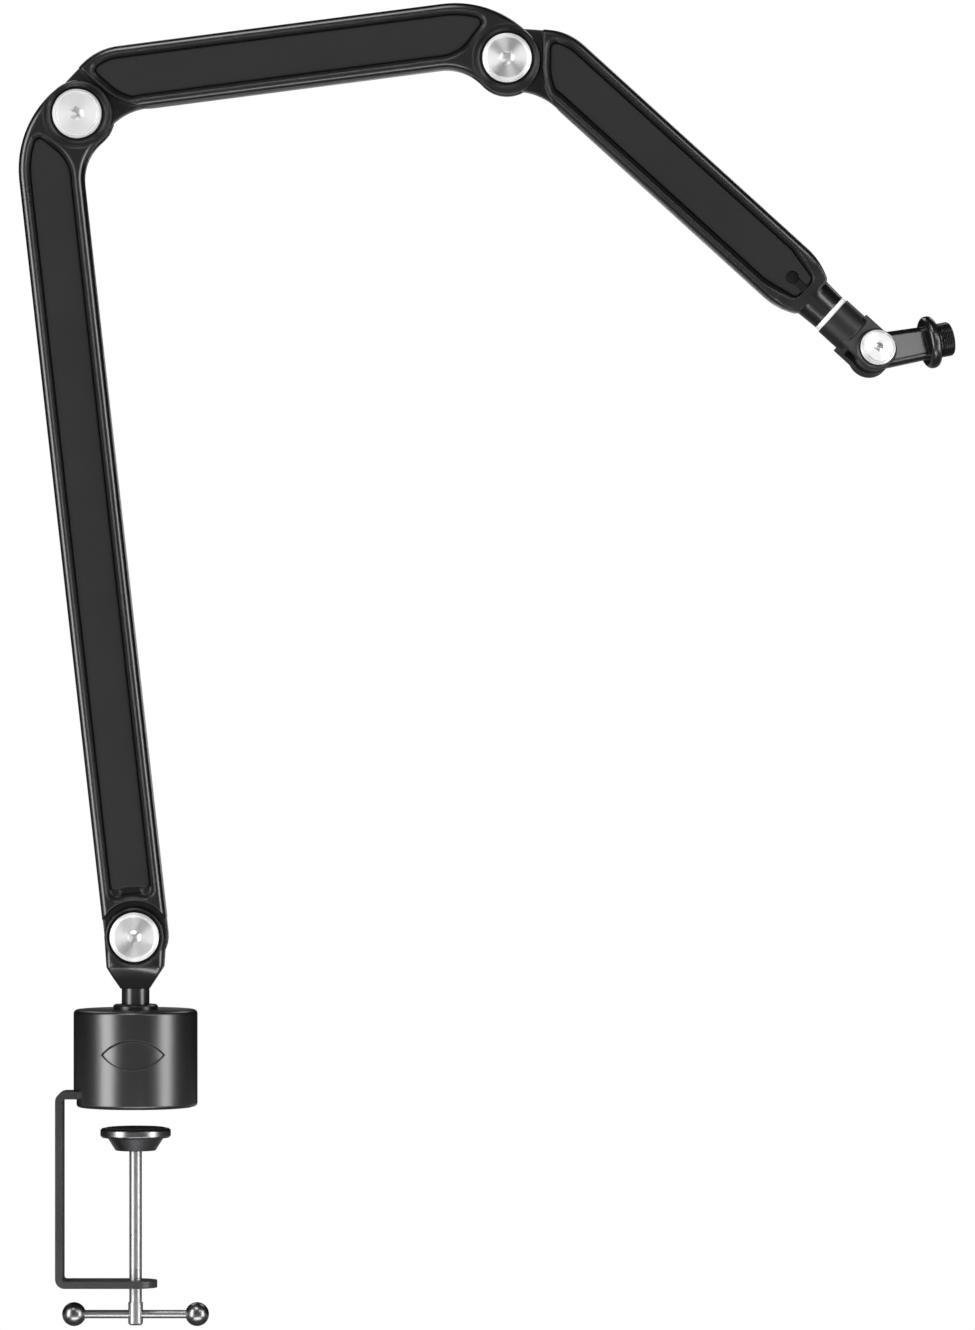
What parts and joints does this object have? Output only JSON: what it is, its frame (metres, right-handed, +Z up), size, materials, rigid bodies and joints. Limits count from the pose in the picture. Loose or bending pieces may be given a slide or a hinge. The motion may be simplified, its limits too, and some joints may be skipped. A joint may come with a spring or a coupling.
{
  "type": "microphone boom arm",
  "caption": "Desk-clamped microphone boom arm: C-clamp, swivelling round base, flat friction-jointed arms with cable covers, turning wrist and threaded microphone mount.",
  "frame": {"origin": "middle of the underside of the base's rubber pad, on the swivel axis, where the clamp sits on the desk top", "axes": "+Z up along the swivel axis, +X towards the microphone end in the pose shown, +Y away from the side that carries the cable covers"},
  "size_m": [0.4306, 0.057, 0.6078],
  "materials": {
    "bracket_steel": "satin black paint on bent steel strip",
    "housing_coat": "black satin coat on a cast shell",
    "zinc_steel": "zinc plated steel",
    "soft_rubber": "soft black rubber",
    "black_acetal": "turned black acetal",
    "black_steel": "black oxide on turned steel",
    "arm_coat": "black satin coat on aluminium",
    "cover_plastic": "fine textured dark grey plastic",
    "turned_steel": "turned bright steel",
    "spring_steel": "oiled spring steel",
    "friction_fibre": "dark fibre",
    "bronze_bush": "sintered bronze",
    "white_nylon": "white nylon",
    "mount_coat": "black satin coat on a cast tang",
    "pad_coat": "gloss black enamel on steel",
    "bright_steel": "bright plated steel",
    "black_knob": "polished black plastic"
  },
  "bodies": {
    "clamp_base": {"clamp_bracket": "bracket_steel", "base_housing": "housing_coat", "base_plate": "zinc_steel", "base_plate_screws": "zinc_steel", "desk_pad": "soft_rubber", "swivel_bush": "black_acetal", "bracket_screws": "zinc_steel"},
    "swivel": {"swivel_spindle": "black_steel", "spindle_washer": "zinc_steel", "spindle_lock_nut": "zinc_steel", "shoulder_knuckle": "arm_coat", "shoulder_bolt": "turned_steel", "shoulder_spring_washer": "spring_steel", "shoulder_friction_washers": "friction_fibre", "shoulder_nut": "zinc_steel"},
    "lower_arm": {"lower_arm_frame": "arm_coat", "lower_arm_cover": "cover_plastic", "shoulder_bush": "bronze_bush", "lower_elbow_bolt": "turned_steel", "lower_elbow_spring_washer": "spring_steel", "lower_elbow_friction_washers": "friction_fibre", "lower_elbow_nut": "zinc_steel"},
    "middle_arm": {"middle_arm_frame": "arm_coat", "middle_arm_cover": "cover_plastic", "lower_elbow_bush": "bronze_bush", "upper_elbow_bolt": "turned_steel", "upper_elbow_spring_washer": "spring_steel", "upper_elbow_friction_washers": "friction_fibre", "upper_elbow_nut": "zinc_steel"},
    "upper_arm": {"upper_arm_frame": "arm_coat", "upper_arm_cover": "cover_plastic", "upper_elbow_bush": "bronze_bush", "wrist_ring": "white_nylon"},
    "wrist": {"wrist_body": "arm_coat", "wrist_bolt": "zinc_steel", "wrist_bolt_washer": "zinc_steel", "tilt_bolt": "turned_steel", "tilt_spring_washer": "spring_steel", "tilt_friction_washers": "friction_fibre", "tilt_nut": "zinc_steel"},
    "mic_mount": {"mic_tang": "mount_coat", "thread_adapter": "black_steel"},
    "pressure_pad": {"pad_disc": "pad_coat", "pad_facing": "soft_rubber"},
    "clamp_screw": {"clamp_screw": "bright_steel", "pad_clip": "zinc_steel"},
    "tommy_bar": {"tommy_bar": "bright_steel", "tommy_balls": "black_knob"}
  },
  "joints": [
    {"name": "base_swivel", "type": "hinge", "parent": "clamp_base", "child": "swivel", "pos_m": [0, 0, 0.0445], "axis": [0, 0, 1], "continuous": true},
    {"name": "shoulder", "type": "hinge", "parent": "swivel", "child": "lower_arm", "pos_m": [0, 0, 0.07845], "axis": [0, 1, 0], "range_deg": [-57, 62]},
    {"name": "lower_elbow", "type": "hinge", "parent": "lower_arm", "child": "middle_arm", "pos_m": [-0.02623, 0, 0.45588], "axis": [0, -1, 0], "range_deg": [-54, 85]},
    {"name": "upper_elbow", "type": "hinge", "parent": "middle_arm", "child": "upper_arm", "pos_m": [0.17081, 0, 0.48147], "axis": [0, 1, 0], "range_deg": [-49, 90]},
    {"name": "wrist_swivel", "type": "hinge", "parent": "upper_arm", "child": "wrist", "pos_m": [0.319, 0, 0.36528], "axis": [0.7396, 0, -0.673], "continuous": true},
    {"name": "mic_tilt", "type": "hinge", "parent": "wrist", "child": "mic_mount", "pos_m": [0.33919, 0, 0.34691], "axis": [-0.1968, 0.9563, -0.2162], "range_deg": [-36, 142]},
    {"name": "pad_lift", "type": "slide", "parent": "clamp_base", "child": "pressure_pad", "axis": [0, 0, 1], "range_m": [-0.059, 0.0055]},
    {"name": "screw_turn", "type": "hinge", "parent": "pressure_pad", "child": "clamp_screw", "pos_m": [0, 0, -0.06], "axis": [0, 0, 1], "range_deg": [-21240, 1980]},
    {"name": "bar_slide", "type": "slide", "parent": "clamp_screw", "child": "tommy_bar", "axis": [1, 0, 0], "range_m": [-0.0185, 0.0185]}
  ],
  "couplings": [
    {"joint": "screw_turn", "follows": "pad_lift", "rad_per_m": 6283.2}
  ]
}
